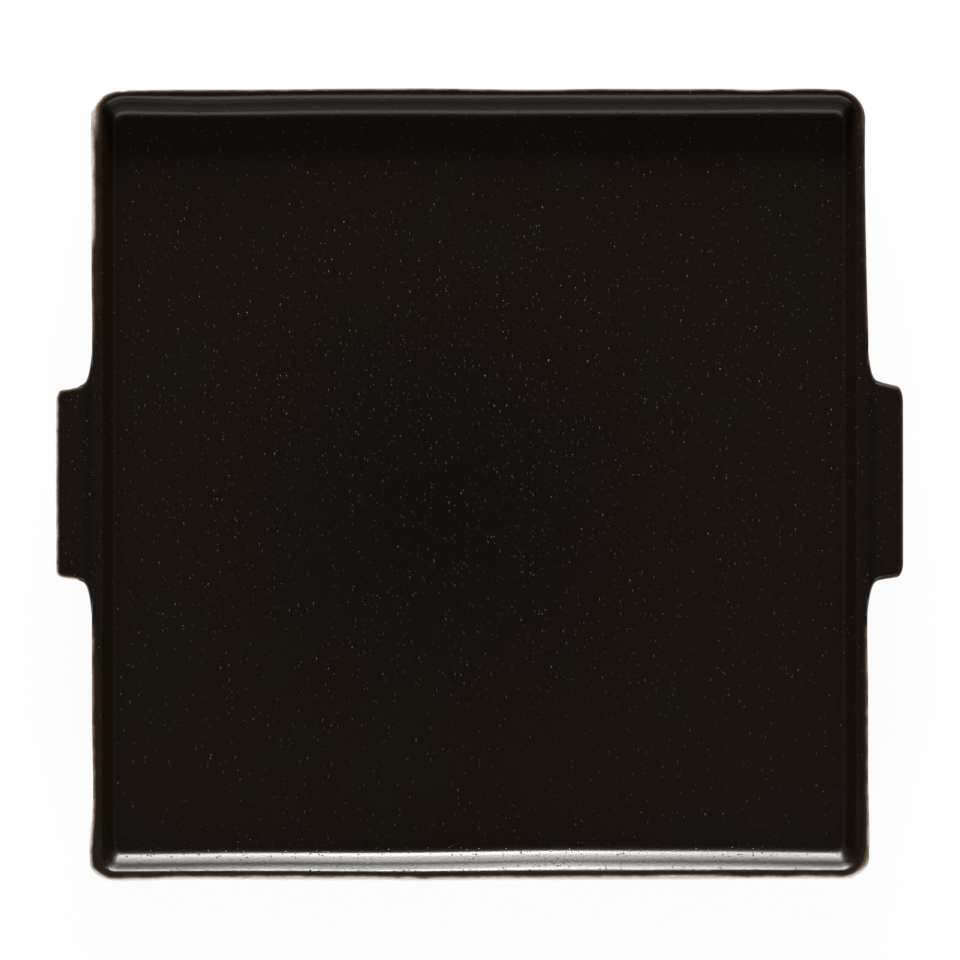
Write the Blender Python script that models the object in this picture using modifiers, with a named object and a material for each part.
"""Square stoneware serving platter with two lug handles, as the clay pieces that it is made of.

Metres, +Z up. The origin is under the middle of the platter, on the surface that it stands on.
+X runs from the left lug to the right lug, and +Y from the front wall to the back wall.
"""

import math

import bmesh
import bpy

# Tray, seen from above
BODY_WIDTH = 0.2800             # left to right, over the rim
BODY_DEPTH = 0.2850             # front to back, over the rim
CORNER_RADIUS = 0.0100          # outer corners of the rim
WELL_CORNER_RADIUS = 0.0076     # corners of the rim's inner edge
FLOOR_CORNER_RADIUS = 0.0030    # corners of the well floor
BASE_CORNER_RADIUS = 0.0070     # corners of the flat base

# Tray, heights
FOOT_HEIGHT = 0.0048            # the foot ring, from the table up to its joint
FLOOR_THICKNESS = 0.0066
WELL_DEPTH = 0.0083             # well floor to the top of the rim

# Inner wall: a roll off the rim, a slow bend over and back, and a cove into the floor
SIDE_RIM_WIDTH = 0.0029         # left and right: outer face to the start of the roll
END_RIM_WIDTH = 0.0014          # front and back: outer face to the start of the roll
ROLL_RADIUS = 0.0029
COVE_RADIUS = 0.0055
SOFT_LEAN = math.radians(50)    # from upright, where the roll ends and where the cove starts
STEEP_LEAN = math.radians(32)   # from upright, at the steepest part of a front or back wall
UPPER_SHARE = 0.455             # how much of the slow bend lies above the steepest part
SIDE_WALL_RUN = 0.0060          # the steeper left and right walls: roll to floor, in plan

# Outer wall: a rounded shoulder, an upright band that the lugs seat on, and a taper to the base
SHOULDER_RADIUS = 0.0012
BAND_BELOW_LUG = 0.0010         # the upright band runs this far below the lugs
TAPER_LEAN = math.radians(22)   # from upright
BASE_EDGE_RADIUS = 0.0040

# Lugs
LUG_REACH = 0.0125              # past the rim
LUG_LENGTH = 0.0690             # along the rim, over its two ends
LUG_THICKNESS = 0.0070
LUG_DROP = 0.0006               # top of the lug, below the top of the rim
LUG_CORNER_RADIUS = 0.0042
LUG_EDGE_RADIUS = 0.0020
ROOT_FLARE = 0.0170             # how far each end of the root is smeared along the rim
FACE_FLARE = 0.0070             # the same on the lug's upper and lower faces
ROOT_REACH = 0.0070             # how far out from the rim the smear starts
ROOT_LIP = 0.0004               # thickness where the smear runs out
ROOT_SWEEP = 4.5                # how quickly the smear thins

# Foot ring
FOOT_INSET = 0.0140             # edge of the flat base to the outside of the foot
FOOT_WIDTH = 0.0055
FOOT_CORNER_RADIUS = 0.0120     # outer corners, seen from above
FOOT_EDGE_RADIUS = 0.0005

# Joint between two pieces of clay
SLIP_GAP = 0.0003

# Fineness of the rounded stretches
CORNER_STEPS = 8
ARC_STEPS = 6
SMEAR_STEPS = 8
FOOT_CURVE_STEPS = 6
FOOT_BEVEL_STEPS = 2
WELD_DISTANCE = 0.00002
SMOOTH_ANGLE = math.radians(32)
QUARTER_HANDLE = 4 / 3 * math.tan(math.pi / 8)      # Bezier handle of a quarter circle of radius 1

# Heights that follow from the sizes
BASE_Z = FOOT_HEIGHT + SLIP_GAP
FLOOR_Z = BASE_Z + FLOOR_THICKNESS
RIM_Z = FLOOR_Z + WELL_DEPTH
LUG_MID_Z = RIM_Z - LUG_DROP - LUG_THICKNESS / 2
BAND_Z = LUG_MID_Z - LUG_THICKNESS / 2 - BAND_BELOW_LUG

# Linear colour and roughness of the two fired surfaces
GLAZE_COLOUR = (0.0105, 0.0070, 0.0050, 1)
GLAZE_ROUGHNESS = 0.30
CLAY_COLOUR = (0.56, 0.46, 0.34, 1)
CLAY_ROUGHNESS = 0.88


def mix(first, last, share):
    """The value that lies a share of the way from first to last."""
    return first + (last - first) * share


def arc(centre, radius, start, end, steps):
    """Points on a circle from one angle to another, both ends included."""
    angles = [mix(start, end, step / steps) for step in range(steps + 1)]
    return [
        (centre[0] + radius * math.cos(angle), centre[1] + radius * math.sin(angle))
        for angle in angles
    ]


def corner_centres(half_width, half_depth, radius):
    """The centre of each rounded corner of a rectangle, with the angle that its arc starts at."""
    for quarter, (side, end) in enumerate([(1, 1), (-1, 1), (-1, -1), (1, -1)]):
        yield (side * (half_width - radius), end * (half_depth - radius)), quarter * math.pi / 2


def rounded_rectangle(half_width, half_depth, radius):
    """The outline of a rectangle with rounded corners, counter-clockwise from above."""
    points = []
    for centre, start in corner_centres(half_width, half_depth, radius):
        points += arc(centre, radius, start, start + math.pi / 2, CORNER_STEPS)
    return points


def lofted_mesh(name, rings):
    """A closed skin through rings of points, capped at the first ring and the last."""
    shape = bmesh.new()
    loops = [[shape.verts.new(point) for point in ring] for ring in rings]
    for lower, upper in zip(loops, loops[1:]):
        for here in range(len(lower)):
            shape.faces.new((lower[here - 1], lower[here], upper[here], upper[here - 1]))
    shape.faces.new(loops[0])
    shape.faces.new(loops[-1])
    bmesh.ops.recalc_face_normals(shape, faces=shape.faces)
    mesh = bpy.data.meshes.new(name)
    shape.to_mesh(mesh)
    shape.free()
    mesh.shade_smooth()
    mesh.set_sharp_from_angle(angle=SMOOTH_ANGLE)
    return mesh


def outer_wall():
    """The outside of the wall from the flat base up to the rim band, as (inset, height) points."""
    edge_z = BASE_Z + BASE_EDGE_RADIUS
    taper_drop = BAND_Z - edge_z + BASE_EDGE_RADIUS * math.sin(TAPER_LEAN)
    edge_inset = BASE_EDGE_RADIUS * math.cos(TAPER_LEAN) + taper_drop * math.tan(TAPER_LEAN)
    edge = arc((edge_inset, edge_z), BASE_EDGE_RADIUS, 1.5 * math.pi, math.pi + TAPER_LEAN, ARC_STEPS)
    return edge + [(0.0, BAND_Z)]


def shoulder():
    """The rounded outer edge of the rim, as (inset, height) points."""
    centre = (SHOULDER_RADIUS, RIM_Z - SHOULDER_RADIUS)
    return arc(centre, SHOULDER_RADIUS, math.pi, math.pi / 2, ARC_STEPS)


def inner_wall():
    """The inside of a front or back wall, from the rim down to the floor, as (run, height) points."""
    tight_drop = (ROLL_RADIUS + COVE_RADIUS) * (1 - math.sin(SOFT_LEAN))
    slow_bend = (WELL_DEPTH - tight_drop) / (math.sin(SOFT_LEAN) - math.sin(STEEP_LEAN))
    upper_radius = slow_bend * UPPER_SHARE
    bends = [
        (ROLL_RADIUS, math.pi / 2, SOFT_LEAN),
        (upper_radius, SOFT_LEAN, STEEP_LEAN),
        (slow_bend - upper_radius, math.pi + STEEP_LEAN, math.pi + SOFT_LEAN),
        (COVE_RADIUS, math.pi + SOFT_LEAN, 1.5 * math.pi),
    ]
    points = [(0.0, RIM_Z)]
    for radius, first, last in bends:
        run, height = points[-1]
        centre = (run - radius * math.cos(first), height - radius * math.sin(first))
        points += arc(centre, radius, first, last, ARC_STEPS)[1:]
    return points


def tray_mesh():
    """Floor, wall and rim: sections of unlike sides and corners, lofted from the base to the floor."""
    stations = []
    outside = outer_wall()
    base_inset = outside[0][0]
    for inset, height in outside:
        corner = mix(CORNER_RADIUS, BASE_CORNER_RADIUS, inset / base_inset)
        stations.append((inset, inset, corner, height))
    for inset, height in shoulder():
        corner = mix(CORNER_RADIUS, WELL_CORNER_RADIUS, inset / SIDE_RIM_WIDTH)
        stations.append((inset, inset, corner, height))
    inside = inner_wall()
    end_wall_run = inside[-1][0]
    for run, height in inside:
        share = run / end_wall_run
        corner = mix(WELL_CORNER_RADIUS, FLOOR_CORNER_RADIUS, share)
        stations.append((SIDE_RIM_WIDTH + SIDE_WALL_RUN * share, END_RIM_WIDTH + run, corner, height))
    rings = []
    for side_inset, end_inset, corner, height in stations:
        outline = rounded_rectangle(BODY_WIDTH / 2 - side_inset, BODY_DEPTH / 2 - end_inset, corner)
        rings.append([(x, y, height) for x, y in outline])
    return lofted_mesh("tray_body", rings)


def lug_outline(inset):
    """A lug from above, drawn in by inset all round but for its root, as (out, along) points.

    Each end of the root is smeared along the rim and thins out to a lip.
    """
    reach = LUG_REACH - SLIP_GAP - inset
    half_length = LUG_LENGTH / 2 - inset
    corner = LUG_CORNER_RADIUS - inset
    flare = mix(ROOT_FLARE, FACE_FLARE, inset / LUG_EDGE_RADIUS)
    smear_reach = min(ROOT_REACH, reach - corner - ROOT_LIP)
    back = [(0.0, half_length + flare)]
    for step in range(SMEAR_STEPS + 1):
        share = (step / SMEAR_STEPS) ** 2
        along = half_length + flare * (1 - share) ** ROOT_SWEEP
        back.append((mix(ROOT_LIP, smear_reach, share), along))
    back += arc((reach - corner, half_length - corner), corner, math.pi / 2, 0.0, CORNER_STEPS)
    front = [(out, -along) for out, along in reversed(back)]
    return back + front


def lug_mesh():
    """A flat lug with rounded edges, from its lower face to its upper face, about its mid height."""
    edge_height = LUG_THICKNESS / 2 - LUG_EDGE_RADIUS
    lower = arc((LUG_EDGE_RADIUS, -edge_height), LUG_EDGE_RADIUS, 1.5 * math.pi, math.pi, ARC_STEPS)
    upper = [(inset, -height) for inset, height in reversed(lower)]
    rings = []
    for inset, height in lower + upper:
        rings.append([(out, along, height) for out, along in lug_outline(inset)])
    return lofted_mesh("lug", rings)


def add_rounded_spline(curve, half_width, half_depth, radius):
    """A closed Bezier outline of a rounded rectangle, with a quarter circle at each corner."""
    ends = []
    for centre, start in corner_centres(half_width, half_depth, radius):
        for angle in (start, start + math.pi / 2):
            ends.append((centre, angle))
    spline = curve.splines.new("BEZIER")
    spline.use_cyclic_u = True
    spline.bezier_points.add(len(ends) - 1)
    handle = radius * QUARTER_HANDLE
    for point, (centre, angle) in zip(spline.bezier_points, ends):
        x = centre[0] + radius * math.cos(angle)
        y = centre[1] + radius * math.sin(angle)
        point.handle_left_type = "FREE"
        point.handle_right_type = "FREE"
        point.co = (x, y, 0.0)
        point.handle_left = (x + handle * math.sin(angle), y - handle * math.cos(angle), 0.0)
        point.handle_right = (x - handle * math.sin(angle), y + handle * math.cos(angle), 0.0)


def foot_curve():
    """The foot ring as a flat outline with a hole, thickened to the foot's height."""
    base_inset = outer_wall()[0][0]
    half_width = BODY_WIDTH / 2 - base_inset - FOOT_INSET
    half_depth = BODY_DEPTH / 2 - base_inset - FOOT_INSET
    curve = bpy.data.curves.new("foot_ring", "CURVE")
    curve.dimensions = "2D"
    curve.fill_mode = "BOTH"
    curve.resolution_u = FOOT_CURVE_STEPS
    curve.extrude = FOOT_HEIGHT / 2
    add_rounded_spline(curve, half_width, half_depth, FOOT_CORNER_RADIUS)
    inner_corner = FOOT_CORNER_RADIUS - FOOT_WIDTH
    add_rounded_spline(curve, half_width - FOOT_WIDTH, half_depth - FOOT_WIDTH, inner_corner)
    return curve


def soften_foot(foot):
    """Join the foot's caps to its sides and round its edges, as a sponge does before firing."""
    weld = foot.modifiers.new("join_caps", "WELD")
    weld.merge_threshold = WELD_DISTANCE
    bevel = foot.modifiers.new("sponged_edges", "BEVEL")
    bevel.width = FOOT_EDGE_RADIUS
    bevel.segments = FOOT_BEVEL_STEPS
    bevel.limit_method = "ANGLE"
    bevel.angle_limit = SMOOTH_ANGLE


def make_material(name, colour, roughness):
    """A fired surface of one colour."""
    material = bpy.data.materials.new(name)
    material.use_nodes = True
    shader = material.node_tree.nodes["Principled BSDF"]
    shader.inputs["Base Color"].default_value = colour
    shader.inputs["Roughness"].default_value = roughness
    shader.inputs["Metallic"].default_value = 0.0
    material.diffuse_color = colour
    return material


def add_piece(name, shape, material, collection, parent, location=(0.0, 0.0, 0.0), turn=0.0):
    """One clay piece as an object of its own, under the platter's empty."""
    piece = bpy.data.objects.new(name, shape)
    piece.data.materials.clear()
    piece.data.materials.append(material)
    piece.location = location
    piece.rotation_euler = (0.0, 0.0, turn)
    piece.parent = parent
    collection.objects.link(piece)
    return piece


def build_platter():
    """Clear the scene and put the platter together."""
    for item in list(bpy.data.objects):
        bpy.data.objects.remove(item, do_unlink=True)
    platter = bpy.data.collections.new("square_serving_platter")
    bpy.context.scene.collection.children.link(platter)
    origin = bpy.data.objects.new("platter_origin", None)
    platter.objects.link(origin)
    glaze = make_material("speckled_black_glaze", GLAZE_COLOUR, GLAZE_ROUGHNESS)
    clay = make_material("bare_stoneware", CLAY_COLOUR, CLAY_ROUGHNESS)

    add_piece("tray_body", tray_mesh(), glaze, platter, origin)
    lug = lug_mesh()
    seat = BODY_WIDTH / 2 + SLIP_GAP
    add_piece("right_lug", lug, glaze, platter, origin, (seat, 0.0, LUG_MID_Z))
    add_piece("left_lug", lug, glaze, platter, origin, (-seat, 0.0, LUG_MID_Z), math.pi)
    foot = add_piece("foot_ring", foot_curve(), clay, platter, origin, (0.0, 0.0, FOOT_HEIGHT / 2))
    soften_foot(foot)


build_platter()
